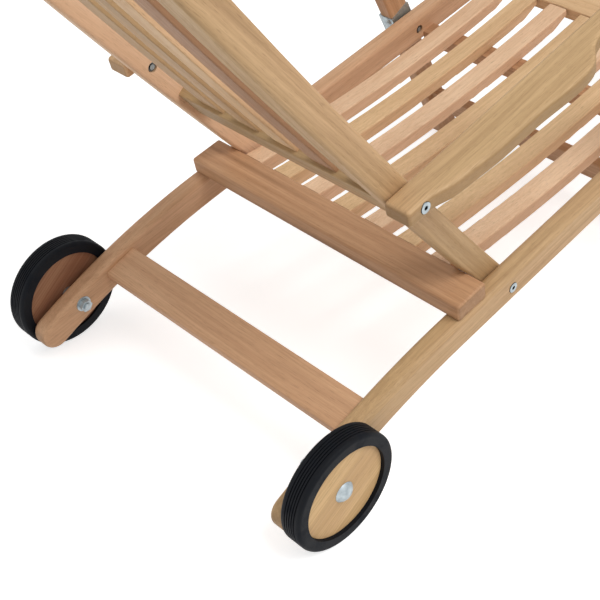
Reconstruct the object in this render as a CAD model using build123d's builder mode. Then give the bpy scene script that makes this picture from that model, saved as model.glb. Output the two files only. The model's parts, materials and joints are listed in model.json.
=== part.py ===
from build123d import *
from math import asin, cos, degrees, radians, sin, sqrt
import os

# A slatted teak deck chair on two rear wheels, with arms, a folding backrest, folding
# front legs and a leg rest. Lengths are in millimetres. +Z is up, the sitter faces -Y
# and has +X on the left. The origin is on the ground, in the middle of the chair's
# length and width. Left pieces are modelled, right ones are their mirror images.

os.makedirs("parts", exist_ok=True)

# Whole chair
INNER_HALF_WIDTH = 235
SIDE_CLEARANCE = 0.3
REST_CLEARANCE = 0.3
BOLT_FIT = 0.05
CUT_OVERRUN = 1
RIGHT_ANGLE = 90
HALF_TURN = 180

# Wheels
WHEEL_RADIUS = 85
TYRE_WIDTH = 33
TYRE_DEPTH = 17
TYRE_SHOULDER = 5
TYRE_GROOVES = 5
TYRE_GROOVE_WIDTH = 1.6
TYRE_GROOVE_DEPTH = 1.5
TYRE_GAP = 2
DISC_WIDTH = 24
DISC_GAP = 5.5
DISC_EDGE_CHAMFER = 0.8

# Side rails, bent down towards the wheels
RAIL_THICKNESS = 30
RAIL_DEPTH = 48
RAIL_ROUNDING = 8
RAIL_TAIL = 73
RAIL_SLOPE = 12.23
RAIL_BEND_RADIUS = 1150
BEND_AHEAD_OF_AXLE = 251
BEND_ABOVE_AXLE = 106
FRONT_HINGE_RUN = 752

# Rear stretcher between the rails
STRETCHER_WIDTH = 57
STRETCHER_THICKNESS = 18
STRETCHER_AHEAD_OF_AXLE = 78.5
STRETCHER_BELOW_TOP = 10
SMALL_ROUNDING = 3

# Bar across the rails that the backrest leans on
BAR_OVERLAP = 27
BAR_WIDTH = 57
BAR_THICKNESS = 27
BAR_ROUNDING = 4

# Seat slats, each a shallow dish from the bar to the front board
SLAT_COUNT = 7
SLAT_GAP = 26.6
SLAT_SIDE_GAP = 33.4
SLAT_THICKNESS = 22.4
SLAT_REAR_THICKNESS = 26
SLAT_ROUNDING = 3
SLAT_REAR_RISE = 25
SLAT_DISH = 7.5
SLAT_DISH_RUN = 355
SLAT_FRONT_RUN = 655
SLAT_FRONT_DROP = 7
SLAT_BEVEL = 42
SLAT_END_GAP = 4
BEARER_WIDTH = 28
BEARER_DEPTH = 24
BEARER_RUN = 521
BOARD_WIDTH = 60
BOARD_THICKNESS = 22

# Backrest
BACK_PIVOT_RUN = 107.5
BACK_LEAN = 61
STILE_THICKNESS = 24.7
STILE_DEPTH = 38
STILE_LENGTH = 800
STILE_HOLLOW = 8
STILE_ROUNDING = 5
BACK_RAIL_START = 190.3
BACK_RAIL_WIDTH = 59.7
BACK_RAIL_THICKNESS = 17.5
BACK_RAIL_REAR = 15
BACK_RAIL_ROUNDING = 2
BACK_TOP_RAIL_WIDTH = 62
BACK_TOP_RAIL_INSET = 14
BACK_SLAT_COUNT = 5
BACK_SLAT_GAP = 27
BACK_SLAT_SIDE_GAP = 46
BACK_SLAT_THICKNESS = 10
BACK_SLAT_INSET = 6.5

# Arms
ARM_PIVOT_UP = 320
ARM_SLOPE = 15
ARM_THICKNESS = 22
ARM_ROUNDING = 6
ARM_UNDERSIDE_ROUNDING = 3
ARM_REAR_LENGTH = 28
ARM_FRONT_LENGTH = 32
ARM_REAR_WIDTH = 39
ARM_WIDTH = 57.5
ARM_FULL = 190
ARM_SWELL_SHARES = ((0.16, 0.4), (0.38, 0.72), (0.6, 0.92), (1, 1))
ARM_BULGE_END = 305
ARM_TAPER = 3
ARM_SHOULDER = 56
ARM_REAR_CORNER = 5
ARM_FRONT_CORNER = 12

# Front legs
LEG_PIVOT_RUN = 497.8
LEG_LEAN = 30
LEG_THICKNESS = 27
LEG_WIDTH = 42
LEG_GAP = 3
LEG_ROUNDING = 4
LEG_STRETCHER_DROP = 214
LEG_STRETCHER_WIDTH = 55
LEG_STRETCHER_THICKNESS = 18
STRAP_LENGTH = 70
STRAP_THICKNESS = 2
STRAP_BOLT_UP = 25
STRAP_BOLT_HEAD_RADIUS = 10
STRAP_BOLT_HEAD_HEIGHT = 5
STRAP_BOLT_LENGTH = 34
STRAP_BOLT_RADIUS = 3

# Leg rest and its feet
LEG_REST_SLOPE = 6
LEG_REST_LENGTH = 496
LEG_REST_DEPTH = 44
LEG_REST_SLAT_THICKNESS = 20
LEG_REST_SLAT_START = 36
LEG_REST_BOARD_WIDTH = 60
LEG_REST_BOARD_SETBACK = 46
LEG_REST_BEARER_SHARES = (0.3, 0.68)
FOOT_PIVOT_SETBACK = 96
FOOT_LEAN = 10
FOOT_THICKNESS = 24
FOOT_WIDTH = 38
FOOT_BAR_DROP = 190
FOOT_BAR_WIDTH = 40
FOOT_BAR_THICKNESS = 18

# Fasteners
AXLE_RADIUS = 5
AXLE_HEAD_RADIUS = 15
AXLE_HEAD_HEIGHT = 8
AXLE_NUT_RADIUS = 9.8
AXLE_NUT_THICKNESS = 8
AXLE_END = 3
WASHER_RADIUS = 12
WASHER_THICKNESS = 1.5
PIVOT_RADIUS = 4
PIVOT_HEAD_RADIUS = 7.5
PIVOT_HEAD_THICKNESS = 4
PIVOT_HEAD_PROUD = 1
PIVOT_SOCKET_RADIUS = 2.9
PIVOT_SOCKET_DEPTH = 3.4
PIVOT_NUT_RADIUS = 7.2
PIVOT_NUT_THICKNESS = 5
PIVOT_NUT_SINK = 3
PIVOT_BOLT_END = 2
HEAD_CLEARANCE = 0.5
INSERT_LENGTH = 14

# Places that follow from the sizes
RAIL_OUTER_X = INNER_HALF_WIDTH + RAIL_THICKNESS
STILE_OUTER_X = INNER_HALF_WIDTH - SIDE_CLEARANCE
STILE_INNER_X = STILE_OUTER_X - STILE_THICKNESS
LEG_INNER_X = RAIL_OUTER_X + LEG_GAP
LEG_OUTER_X = LEG_INNER_X + LEG_THICKNESS
TYRE_MIDDLE_X = RAIL_OUTER_X + TYRE_GAP + TYRE_WIDTH / 2
DISC_INNER_X = RAIL_OUTER_X + DISC_GAP
DISC_OUTER_X = DISC_INNER_X + DISC_WIDTH
DISC_RADIUS = WHEEL_RADIUS - TYRE_DEPTH
FOOT_INNER_X = INNER_HALF_WIDTH
FOOT_OUTER_X = FOOT_INNER_X + FOOT_THICKNESS


def slat_width(clear_width, count, gap, side_gap):
    """The width of each slat where so many fill a clear width with these gaps."""
    return (clear_width - 2 * side_gap - (count - 1) * gap) / count


SLAT_WIDTH = slat_width(2 * INNER_HALF_WIDTH, SLAT_COUNT, SLAT_GAP, SLAT_SIDE_GAP)
SLAT_PITCH = SLAT_WIDTH + SLAT_GAP
BACK_SLAT_WIDTH = slat_width(2 * STILE_INNER_X, BACK_SLAT_COUNT, BACK_SLAT_GAP, BACK_SLAT_SIDE_GAP)
BACK_SLAT_PITCH = BACK_SLAT_WIDTH + BACK_SLAT_GAP
MIDDLE_DROP = RAIL_DEPTH / 2
HALF_STILE = STILE_DEPTH / 2
STILE_TOP = STILE_LENGTH - HALF_STILE


def stile_edge(up, offset=0):
    """A point this far up the hollow stile, and this far behind its middle line."""
    share = (2 * up - STILE_LENGTH) / STILE_LENGTH
    return up, STILE_HOLLOW * (1 - share**2) + offset


def ahead_of_axle(run):
    """How far ahead of the axle a pivot lies that is this far along the rail's straight run."""
    slope = radians(RAIL_SLOPE)
    return BEND_AHEAD_OF_AXLE + run * cos(slope) + MIDDLE_DROP * sin(slope)


# The chair reaches from the backrest's top, or the rails' tails, to the leg rest's end
rise = radians(BACK_LEAN - RAIL_SLOPE)
top_up, top_behind = stile_edge(STILE_TOP)
top_reach = top_up * cos(rise) + top_behind * sin(rise) + HALF_STILE - ahead_of_axle(BACK_PIVOT_RUN)
rear_reach = max(top_reach, RAIL_TAIL, WHEEL_RADIUS)
leg_rest_span = LEG_REST_LENGTH * cos(radians(LEG_REST_SLOPE)) + LEG_REST_DEPTH / 2
front_reach = ahead_of_axle(FRONT_HINGE_RUN) + leg_rest_span
AXLE_Y = (front_reach - rear_reach) / 2
BEND_Y = AXLE_Y - BEND_AHEAD_OF_AXLE
BEND_Z = WHEEL_RADIUS + BEND_ABOVE_AXLE


def tilted_plane(y, z, angle, x=0):
    """A plane across X, at (y, z), whose own x runs at this angle from +Y towards +Z."""
    along = (0, cos(radians(angle)), sin(radians(angle)))
    return Plane(origin=(x, y, z), x_dir=along, z_dir=(-1, 0, 0))


def place(plane, along, across):
    """The (y, z) of a point given in a tilted plane."""
    point = plane.from_local_coords((along, across, 0))
    return point.Y, point.Z


def at_x(plane, x):
    """The same plane moved along X to x."""
    return Plane(origin=(x, plane.origin.Y, plane.origin.Z), x_dir=plane.x_dir, z_dir=plane.z_dir)


def rod(centres, radius, x_start, x_end, mode=Mode.ADD):
    """Round bars along X, or round holes where the mode subtracts."""
    middle = (x_start + x_end) / 2
    with Locations(*[Location((middle, y, z), (0, RIGHT_ANGLE, 0)) for y, z in centres]):
        Cylinder(radius, abs(x_end - x_start), mode=mode)


def bore(centres, radius, x_start, x_end):
    rod(centres, radius, x_start, x_end, mode=Mode.SUBTRACT)


def pivot_bolt(centre, side, x_inner, x_outer):
    """A bolt along X with a flat socket head outside and a sunk hexagon nut at its inner end."""
    nut_face = side * (x_inner + PIVOT_NUT_SINK)
    outer = side * (x_outer + PIVOT_HEAD_PROUD)
    rod([centre], PIVOT_RADIUS, nut_face - side * PIVOT_BOLT_END, outer)
    rod([centre], PIVOT_HEAD_RADIUS, outer, outer - side * PIVOT_HEAD_THICKNESS)
    bore([centre], PIVOT_SOCKET_RADIUS, outer, outer - side * PIVOT_SOCKET_DEPTH)
    with BuildSketch(Plane(origin=(nut_face, *centre), x_dir=(0, 1, 0), z_dir=(side, 0, 0))) as nut:
        RegularPolygon(PIVOT_NUT_RADIUS, 6)
    extrude(nut.sketch, amount=PIVOT_NUT_THICKNESS)


def head_recess(centre, x_face, inwards):
    """The round recess that a bolt head sits in, cut inwards from a face."""
    depth = PIVOT_HEAD_THICKNESS - PIVOT_HEAD_PROUD + SIDE_CLEARANCE
    start = x_face - inwards * CUT_OVERRUN
    bore([centre], PIVOT_HEAD_RADIUS + HEAD_CLEARANCE, start, x_face + inwards * depth)


def nut_recess(centre, x_face, inwards):
    """The round recess that a bolt's nut is sunk in, cut inwards from a face."""
    depth = PIVOT_NUT_SINK + PIVOT_NUT_THICKNESS + SIDE_CLEARANCE
    start = x_face - inwards * CUT_OVERRUN
    bore([centre], PIVOT_NUT_RADIUS + HEAD_CLEARANCE, start, x_face + inwards * depth)


def save(part, name):
    part.label = name
    export_step(part, f"parts/{name}.step")


def save_pair(part, name):
    """Write a left piece and its mirror image on the right."""
    save(part, f"{name}_left")
    save(mirror(part, about=Plane.YZ), f"{name}_right")


# The straight run of the rails' top edge: x runs forward and up, y is the height over it
rail_plane = tilted_plane(BEND_Y, BEND_Z, HALF_TURN - RAIL_SLOPE)
bend_middle_y, bend_middle_z = place(rail_plane, 0, -RAIL_BEND_RADIUS)
middle_radius = RAIL_BEND_RADIUS - MIDDLE_DROP
tail_middle_y = AXLE_Y + RAIL_TAIL - MIDDLE_DROP
tail_angle = degrees(asin((tail_middle_y - bend_middle_y) / middle_radius)) - RAIL_SLOPE

# Pivots, as (y, z)
axle = (AXLE_Y, WHEEL_RADIUS)
back_pivot = place(rail_plane, BACK_PIVOT_RUN, -MIDDLE_DROP)
leg_pivot = place(rail_plane, LEG_PIVOT_RUN, -MIDDLE_DROP)
front_hinge = place(rail_plane, FRONT_HINGE_RUN, -MIDDLE_DROP)

# The backrest's own plane: x runs up the stile from its pivot, y is towards the rear
stile_plane = tilted_plane(*back_pivot, BACK_LEAN - RAIL_SLOPE)
arm_pivot = place(stile_plane, *stile_edge(ARM_PIVOT_UP))

# The leg's plane: x runs up the leg from its pivot, y is towards the rear
leg_plane = tilted_plane(*leg_pivot, RIGHT_ANGLE - LEG_LEAN)

# The arm's middle line and the leg's middle line cross at the arm's front pivot
arm_direction = (-cos(radians(ARM_SLOPE)), sin(radians(ARM_SLOPE)))
leg_direction = (sin(radians(LEG_LEAN)), cos(radians(LEG_LEAN)))
apart = (leg_pivot[0] - arm_pivot[0], leg_pivot[1] - arm_pivot[1])
crossing = arm_direction[0] * leg_direction[1] - arm_direction[1] * leg_direction[0]
arm_reach = (apart[0] * leg_direction[1] - apart[1] * leg_direction[0]) / crossing
leg_reach = (apart[0] * arm_direction[1] - apart[1] * arm_direction[0]) / crossing
arm_front_pivot = place(leg_plane, leg_reach, 0)

arm_plane = Plane(
    origin=(0, *arm_pivot),
    x_dir=(0, *arm_direction),
    z_dir=(0, sin(radians(ARM_SLOPE)), cos(radians(ARM_SLOPE))),
)

# The leg rest's plane: x runs forward and down from its hinge, y is the height over it
leg_rest_plane = tilted_plane(*front_hinge, HALF_TURN + LEG_REST_SLOPE)
leg_rest_half_depth = LEG_REST_DEPTH / 2
foot_pivot = place(leg_rest_plane, LEG_REST_LENGTH - FOOT_PIVOT_SETBACK, 0)
foot_plane = tilted_plane(*foot_pivot, HALF_TURN + RIGHT_ANGLE - FOOT_LEAN)

# The bar stands where the backrest's rear edge leans on its rounded front corner
stile_radius = ((STILE_LENGTH / 2) ** 2 + STILE_HOLLOW**2) / (2 * STILE_HOLLOW)
to_hollow = stile_radius - STILE_HOLLOW
hollow_run = (
    BACK_PIVOT_RUN
    - STILE_LENGTH / 2 * cos(radians(BACK_LEAN))
    + to_hollow * sin(radians(BACK_LEAN))
)
hollow_height = (
    -MIDDLE_DROP
    + STILE_LENGTH / 2 * sin(radians(BACK_LEAN))
    + to_hollow * cos(radians(BACK_LEAN))
)
corner_height = BAR_THICKNESS - BAR_ROUNDING
corner_distance = stile_radius + HALF_STILE + REST_CLEARANCE + BAR_ROUNDING
bar_front = hollow_run + BAR_ROUNDING - sqrt(corner_distance**2 - (hollow_height - corner_height) ** 2)


# Bent side rails with round ends
def bend_point(depth, angle):
    """A point of the bent part of the rail, this deep under its top edge."""
    radius = RAIL_BEND_RADIUS - depth
    return -radius * sin(radians(angle)), radius * cos(radians(angle)) - RAIL_BEND_RADIUS


tail_middle = bend_point(MIDDLE_DROP, tail_angle)
tail_tip = (
    tail_middle[0] - MIDDLE_DROP * cos(radians(tail_angle)),
    tail_middle[1] - MIDDLE_DROP * sin(radians(tail_angle)),
)

with BuildPart() as rail:
    with BuildSketch(at_x(rail_plane, RAIL_OUTER_X)):
        with BuildLine():
            Line((FRONT_HINGE_RUN, 0), (0, 0))
            ThreePointArc((0, 0), bend_point(0, tail_angle / 2), bend_point(0, tail_angle))
            ThreePointArc(bend_point(0, tail_angle), tail_tip, bend_point(RAIL_DEPTH, tail_angle))
            underside = bend_point(RAIL_DEPTH, tail_angle / 2)
            ThreePointArc(bend_point(RAIL_DEPTH, tail_angle), underside, (0, -RAIL_DEPTH))
            Line((0, -RAIL_DEPTH), (FRONT_HINGE_RUN, -RAIL_DEPTH))
            nose_tip = (FRONT_HINGE_RUN + MIDDLE_DROP, -MIDDLE_DROP)
            ThreePointArc((FRONT_HINGE_RUN, -RAIL_DEPTH), nose_tip, (FRONT_HINGE_RUN, 0))
        make_face()
    extrude(amount=RAIL_THICKNESS)
    rail_sides = rail.faces().sort_by(Axis.X)
    fillet(rail_sides[0].edges() + rail_sides[-1].edges(), radius=RAIL_ROUNDING)
    through = (INNER_HALF_WIDTH - CUT_OVERRUN, RAIL_OUTER_X + CUT_OVERRUN)
    bore([axle], AXLE_RADIUS, *through)
    bore([back_pivot, leg_pivot, front_hinge], PIVOT_RADIUS, *through)
    head_recess(back_pivot, RAIL_OUTER_X, -1)
    nut_recess(leg_pivot, INNER_HALF_WIDTH, 1)
    head_recess(front_hinge, RAIL_OUTER_X, -1)
save_pair(rail.part, "rail")

# Rear stretcher, square to the bent rails
stretcher_angle = degrees(asin((AXLE_Y - STRETCHER_AHEAD_OF_AXLE - bend_middle_y) / middle_radius))
stretcher_y, stretcher_z = place(
    rail_plane, *bend_point(STRETCHER_BELOW_TOP + STRETCHER_THICKNESS / 2, stretcher_angle - RAIL_SLOPE)
)
stretcher_plane = tilted_plane(stretcher_y, stretcher_z, HALF_TURN - stretcher_angle)
with BuildPart() as rear_stretcher:
    with BuildSketch(stretcher_plane):
        Rectangle(STRETCHER_WIDTH, STRETCHER_THICKNESS)
    extrude(amount=INNER_HALF_WIDTH, both=True)
    fillet(rear_stretcher.edges().filter_by(Axis.X), radius=SMALL_ROUNDING)
save(rear_stretcher.part, "rear_stretcher")

# Back bar on top of the rails
with BuildPart() as back_bar:
    with BuildSketch(rail_plane):
        with Locations((bar_front - BAR_WIDTH / 2, BAR_THICKNESS / 2)):
            Rectangle(BAR_WIDTH, BAR_THICKNESS)
    extrude(amount=INNER_HALF_WIDTH + BAR_OVERLAP, both=True)
    fillet(back_bar.edges(), radius=BAR_ROUNDING)
save(back_bar.part, "back_bar")


# Seat slats: the top is one arc through three heights, the underside is parallel to it
def dish(run, drop=0):
    """A point of the slats' top arc, or this far inside it."""
    (x1, y1), (x2, y2), (x3, y3) = dish_points
    d = 2 * (x1 * (y2 - y3) + x2 * (y3 - y1) + x3 * (y1 - y2))
    s1, s2, s3 = x1**2 + y1**2, x2**2 + y2**2, x3**2 + y3**2
    middle_x = (s1 * (y2 - y3) + s2 * (y3 - y1) + s3 * (y1 - y2)) / d
    middle_y = (s1 * (x3 - x2) + s2 * (x1 - x3) + s3 * (x2 - x1)) / d
    radius = sqrt((x1 - middle_x) ** 2 + (y1 - middle_y) ** 2) + drop
    return run, middle_y - sqrt(radius**2 - (run - middle_x) ** 2)


dish_points = (
    (bar_front, SLAT_REAR_RISE),
    (SLAT_DISH_RUN, -SLAT_DISH),
    (SLAT_FRONT_RUN, -SLAT_FRONT_DROP),
)
bevel_run = SLAT_FRONT_RUN - SLAT_BEVEL
middle_run = (bar_front + bevel_run) / 2
rear_swell = SLAT_REAR_THICKNESS - SLAT_THICKNESS
for number in range(SLAT_COUNT):
    slat_x = (number - (SLAT_COUNT - 1) / 2) * SLAT_PITCH
    with BuildPart() as seat_slat:
        with BuildSketch(at_x(rail_plane, slat_x)):
            with BuildLine():
                ThreePointArc(dish(bar_front), dish(SLAT_DISH_RUN), dish(SLAT_FRONT_RUN))
                Line(dish(SLAT_FRONT_RUN), dish(SLAT_FRONT_RUN, SLAT_THICKNESS / 2))
                Line(dish(SLAT_FRONT_RUN, SLAT_THICKNESS / 2), dish(bevel_run, SLAT_THICKNESS))
                ThreePointArc(
                    dish(bevel_run, SLAT_THICKNESS),
                    dish((bevel_run + middle_run) / 2, SLAT_THICKNESS),
                    dish(middle_run, SLAT_THICKNESS),
                )
                ThreePointArc(
                    dish(middle_run, SLAT_THICKNESS),
                    dish((middle_run + bar_front) / 2, SLAT_THICKNESS + rear_swell / 4),
                    dish(bar_front, SLAT_REAR_THICKNESS),
                )
                Line(dish(bar_front, SLAT_REAR_THICKNESS), dish(bar_front))
            make_face()
        extrude(amount=SLAT_WIDTH / 2, both=True)
        slat_sides = seat_slat.faces().sort_by(Axis.X)
        top_edges = (slat_sides[0].edges() + slat_sides[-1].edges()).filter_by(GeomType.CIRCLE)
        fillet(top_edges, radius=SLAT_ROUNDING)
    save(seat_slat.part, f"seat_slat_{number + 1}")

# Bearer across the chair, under the slats
bearer_rear = BEARER_RUN - BEARER_WIDTH / 2
bearer_front = BEARER_RUN + BEARER_WIDTH / 2
with BuildPart() as bearer:
    with BuildSketch(rail_plane):
        with BuildLine():
            under_slats = [dish(run, SLAT_THICKNESS) for run in (bearer_rear, BEARER_RUN, bearer_front)]
            top = ThreePointArc(*under_slats)
            underside = dish(BEARER_RUN, SLAT_THICKNESS)[1] - BEARER_DEPTH
            Polyline(top @ 1, (bearer_front, underside), (bearer_rear, underside), top @ 0)
        make_face()
    extrude(amount=INNER_HALF_WIDTH, both=True)
save(bearer.part, "seat_bearer")

# Front board that closes the seat
board_rear = SLAT_FRONT_RUN + SLAT_END_GAP
with BuildPart() as front_board:
    with BuildSketch(rail_plane):
        with Locations((board_rear + BOARD_WIDTH / 2, -SLAT_FRONT_DROP - BOARD_THICKNESS / 2)):
            Rectangle(BOARD_WIDTH, BOARD_THICKNESS)
    extrude(amount=INNER_HALF_WIDTH, both=True)
    fillet(front_board.edges().filter_by(Axis.X), radius=SMALL_ROUNDING)
save(front_board.part, "seat_front_board")

# Wheels: a wooden disc inside a solid rubber tyre with grooves round its tread
wheel_section = Plane(origin=(0, *axle), x_dir=(1, 0, 0), z_dir=(0, 0, 1))
wheel_axis = Axis((0, *axle), (1, 0, 0))
groove_pitch = (TYRE_WIDTH - 2 * TYRE_SHOULDER) / (TYRE_GROOVES + 1)
with BuildPart() as tyre:
    with BuildSketch(wheel_section):
        with Locations((TYRE_MIDDLE_X, WHEEL_RADIUS - TYRE_DEPTH / 2)):
            Rectangle(TYRE_WIDTH, TYRE_DEPTH)
        fillet(vertices().group_by(Axis.Y)[-1], radius=TYRE_SHOULDER)
        with Locations((TYRE_MIDDLE_X, WHEEL_RADIUS)):
            with GridLocations(groove_pitch, TYRE_WIDTH, TYRE_GROOVES, 1):
                Rectangle(TYRE_GROOVE_WIDTH, 2 * TYRE_GROOVE_DEPTH, mode=Mode.SUBTRACT)
    revolve(axis=wheel_axis)
save_pair(tyre.part, "tyre")

with BuildPart() as wheel_disc:
    rod([axle], DISC_RADIUS, DISC_INNER_X, DISC_OUTER_X)
    chamfer(wheel_disc.edges().filter_by(GeomType.CIRCLE), length=DISC_EDGE_CHAMFER)
    bore([axle], AXLE_RADIUS + BOLT_FIT, DISC_INNER_X - CUT_OVERRUN, DISC_OUTER_X + CUT_OVERRUN)
save_pair(wheel_disc.part, "wheel_disc")

# Axle bolts with domed heads, their washers and nuts
nut_face = INNER_HALF_WIDTH - WASHER_THICKNESS
bolt_end = nut_face - AXLE_NUT_THICKNESS - AXLE_END
head_face = DISC_OUTER_X + SIDE_CLEARANCE
dome_radius = (AXLE_HEAD_RADIUS**2 + AXLE_HEAD_HEIGHT**2) / (2 * AXLE_HEAD_HEIGHT)
dome_middle = head_face + AXLE_HEAD_HEIGHT - dome_radius
with BuildPart() as axle_bolts:
    for side in (1, -1):
        rod([axle], AXLE_RADIUS, side * bolt_end, side * head_face)
        with BuildSketch(Plane(origin=(0, *axle), x_dir=(side, 0, 0), z_dir=(0, 0, 1))):
            with BuildLine():
                Line((head_face, 0), (head_face, AXLE_HEAD_RADIUS))
                half_way = AXLE_HEAD_RADIUS / 2
                ThreePointArc(
                    (head_face, AXLE_HEAD_RADIUS),
                    (dome_middle + sqrt(dome_radius**2 - half_way**2), half_way),
                    (head_face + AXLE_HEAD_HEIGHT, 0),
                )
                Line((head_face + AXLE_HEAD_HEIGHT, 0), (head_face, 0))
            make_face()
        revolve(axis=wheel_axis)
save(axle_bolts.part, "axle_bolts")

with BuildPart() as axle_washers:
    for side in (1, -1):
        rod([axle], WASHER_RADIUS, side * nut_face, side * INNER_HALF_WIDTH)
        rod([axle], WASHER_RADIUS, side * RAIL_OUTER_X, side * (DISC_INNER_X - SIDE_CLEARANCE))
        bore([axle], AXLE_RADIUS, side * bolt_end, side * head_face)
save(axle_washers.part, "axle_washers")

with BuildPart() as axle_nuts:
    for side in (1, -1):
        with BuildSketch(Plane(origin=(side * nut_face, *axle), x_dir=(0, 1, 0), z_dir=(-side, 0, 0))):
            RegularPolygon(AXLE_NUT_RADIUS, 6)
            Circle(AXLE_RADIUS, mode=Mode.SUBTRACT)
        extrude(amount=AXLE_NUT_THICKNESS)
save(axle_nuts.part, "axle_nuts")

# Barrel bolts of the three hinges on the rails
with BuildPart() as back_pivot_bolts:
    for side in (1, -1):
        pivot_bolt(back_pivot, side, STILE_INNER_X, RAIL_OUTER_X)
save(back_pivot_bolts.part, "back_pivot_bolts")

# The bolt's head stands wholly outside the strap
strap_head_x = LEG_OUTER_X + STRAP_THICKNESS + SIDE_CLEARANCE + PIVOT_HEAD_THICKNESS - PIVOT_HEAD_PROUD
with BuildPart() as leg_pivot_bolts:
    for side in (1, -1):
        pivot_bolt(leg_pivot, side, INNER_HALF_WIDTH, strap_head_x)
save(leg_pivot_bolts.part, "leg_pivot_bolts")

with BuildPart() as leg_rest_pivot_bolts:
    for side in (1, -1):
        pivot_bolt(front_hinge, side, STILE_INNER_X, RAIL_OUTER_X)
save(leg_rest_pivot_bolts.part, "leg_rest_pivot_bolts")


# Backrest stiles: a hollow blade with round ends
blade = ThreePointArc(stile_edge(0), stile_edge(STILE_LENGTH / 2), stile_edge(STILE_TOP))
with BuildPart() as stile:
    with BuildSketch(at_x(stile_plane, STILE_OUTER_X)):
        SlotArc(blade, STILE_DEPTH)
    extrude(amount=STILE_THICKNESS)
    stile_sides = stile.faces().sort_by(Axis.X)
    fillet(stile_sides[0].edges() + stile_sides[-1].edges(), radius=STILE_ROUNDING)
    through = (STILE_INNER_X - CUT_OVERRUN, STILE_OUTER_X + CUT_OVERRUN)
    bore([back_pivot], PIVOT_RADIUS + BOLT_FIT, *through)
    bore([arm_pivot], PIVOT_RADIUS, *through)
    nut_recess(back_pivot, STILE_INNER_X, 1)
    nut_recess(arm_pivot, STILE_INNER_X, 1)
save_pair(stile.part, "stile")

# Cross rails of the backrest, between the stiles
top_rail_start = STILE_LENGTH - BACK_TOP_RAIL_INSET - BACK_TOP_RAIL_WIDTH
rail_rear_offset = BACK_RAIL_REAR - stile_edge(BACK_RAIL_START + BACK_RAIL_WIDTH / 2)[1]
for name, start, width in (
    ("back_lower_rail", BACK_RAIL_START, BACK_RAIL_WIDTH),
    ("back_top_rail", top_rail_start, BACK_TOP_RAIL_WIDTH),
):
    rear_face = stile_edge(start + width / 2, rail_rear_offset)[1]
    with BuildPart() as cross_rail:
        with BuildSketch(stile_plane):
            with Locations((start + width / 2, rear_face - BACK_RAIL_THICKNESS / 2)):
                Rectangle(width, BACK_RAIL_THICKNESS)
        extrude(amount=STILE_INNER_X, both=True)
        fillet(cross_rail.edges().filter_by(Axis.X), radius=BACK_RAIL_ROUNDING)
    save(cross_rail.part, name)

# Back slats between the cross rails, hollow like the stiles
slat_foot = BACK_RAIL_START + BACK_RAIL_WIDTH
slat_rear = rail_rear_offset - BACK_SLAT_INSET
slat_middle_up = (slat_foot + top_rail_start) / 2
for number in range(BACK_SLAT_COUNT):
    slat_x = (number - (BACK_SLAT_COUNT - 1) / 2) * BACK_SLAT_PITCH
    with BuildPart() as back_slat:
        with BuildSketch(at_x(stile_plane, slat_x)):
            with BuildLine():
                rear = ThreePointArc(
                    stile_edge(slat_foot, slat_rear),
                    stile_edge(slat_middle_up, slat_rear),
                    stile_edge(top_rail_start, slat_rear),
                )
                front_offset = slat_rear - BACK_SLAT_THICKNESS
                front = ThreePointArc(
                    stile_edge(slat_foot, front_offset),
                    stile_edge(slat_middle_up, front_offset),
                    stile_edge(top_rail_start, front_offset),
                )
                Line(rear @ 0, front @ 0)
                Line(rear @ 1, front @ 1)
            make_face()
        extrude(amount=BACK_SLAT_WIDTH / 2, both=True)
        slat_sides = back_slat.faces().sort_by(Axis.X)
        long_edges = (slat_sides[0].edges() + slat_sides[-1].edges()).filter_by(GeomType.CIRCLE)
        fillet(long_edges, radius=BACK_RAIL_ROUNDING)
    save(back_slat.part, f"back_slat_{number + 1}")

# Bolts that hinge the arms to the stiles
arm_rear_x = INNER_HALF_WIDTH + ARM_REAR_WIDTH
with BuildPart() as arm_pivot_bolts:
    for side in (1, -1):
        pivot_bolt(arm_pivot, side, STILE_INNER_X, arm_rear_x)
save(arm_pivot_bolts.part, "arm_pivot_bolts")

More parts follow.
